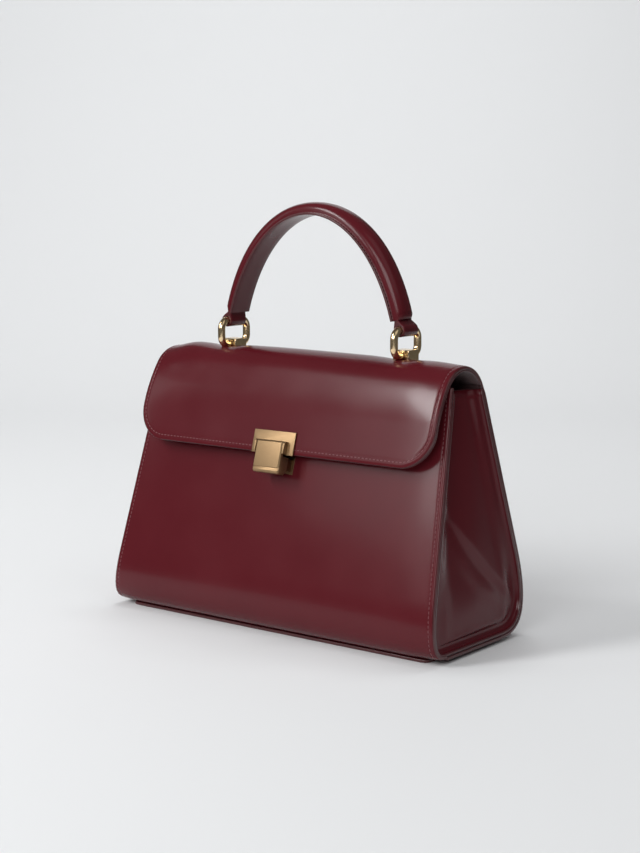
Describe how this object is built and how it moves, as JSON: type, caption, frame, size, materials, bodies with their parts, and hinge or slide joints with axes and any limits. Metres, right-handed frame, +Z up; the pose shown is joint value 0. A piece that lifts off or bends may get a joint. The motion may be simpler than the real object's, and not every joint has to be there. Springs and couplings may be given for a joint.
{
  "type": "top-handle day bag",
  "caption": "Structured leather day bag: splayed panels between gussets, domed flap with flip hasp lock, and padded arched handle on rings in staples.",
  "frame": {"origin": "on the floor under the middle of the bag's length and mouth, on the base panel's underside", "axes": "+X along the length, to the right seen from the front; -Y is the front with the lock; +Z is up"},
  "size_m": [0.285, 0.1135, 0.2942],
  "materials": {
    "calf_leather": "smooth, satin to glossy",
    "suede_lining": "matt suede",
    "stiffener": "pressed leather board",
    "gold_metal": "polished and satin pale gold plating",
    "spring_steel": "plain"
  },
  "bodies": {
    "bag": {"front_panel": "calf_leather", "back_panel": "calf_leather", "bottom_panel": "calf_leather", "base_panel": "calf_leather", "gusset_left": "calf_leather", "gusset_right": "calf_leather", "front_board": "stiffener", "back_board": "stiffener", "base_board": "stiffener", "body_lining": "suede_lining", "gusset_lining_left": "suede_lining", "gusset_lining_right": "suede_lining", "keeper": "gold_metal", "keeper_backplate": "gold_metal", "keeper_screw_left": "gold_metal", "keeper_screw_right": "gold_metal"},
    "flap": {"flap_leather": "calf_leather", "flap_lining": "suede_lining", "lock_plate": "gold_metal", "lock_backplate": "gold_metal", "lock_screw_left": "gold_metal", "lock_screw_right": "gold_metal", "hasp_pin": "gold_metal", "staple_left": "gold_metal", "staple_right": "gold_metal", "staple_backplate_left": "gold_metal", "staple_backplate_right": "gold_metal", "staple_left_screw_left": "gold_metal", "staple_left_screw_right": "gold_metal", "staple_right_screw_left": "gold_metal", "staple_right_screw_right": "gold_metal"},
    "hasp": {"lock_hasp": "gold_metal", "hasp_spring": "spring_steel"},
    "left_ring": {"ring_left": "gold_metal"},
    "right_ring": {"ring_right": "gold_metal"},
    "handle": {"handle_cover": "calf_leather", "handle_core": "stiffener", "handle_tab_left": "calf_leather", "handle_tab_right": "calf_leather"}
  },
  "joints": [
    {"name": "flap_hinge", "type": "hinge", "parent": "bag", "child": "flap", "pos_m": [0, 0.01949, 0.1739], "axis": [-1, 0, 0], "range_deg": [0, 150]},
    {"name": "hasp_hinge", "type": "hinge", "parent": "flap", "child": "hasp", "pos_m": [0, -0.04751, 0.1316], "axis": [-1, 0, 0], "range_deg": [0, 110]},
    {"name": "ring_left_hinge", "type": "hinge", "parent": "flap", "child": "left_ring", "pos_m": [-0.076, 0.003, 0.192], "axis": [0, 1, 0], "range_deg": [-40, 40]},
    {"name": "handle_hinge", "type": "hinge", "parent": "left_ring", "child": "handle", "pos_m": [-0.076, 0.003, 0.2094], "axis": [0, 1, 0], "range_deg": [-40, 40]},
    {"name": "ring_right_hinge", "type": "hinge", "parent": "flap", "child": "right_ring", "pos_m": [0.076, 0.003, 0.192], "axis": [0, 1, 0], "range_deg": [-40, 40]}
  ],
  "couplings": [
    {"joint": "handle_hinge", "follows": "ring_left_hinge", "ratio": -1},
    {"joint": "ring_right_hinge", "follows": "ring_left_hinge", "ratio": 1}
  ]
}
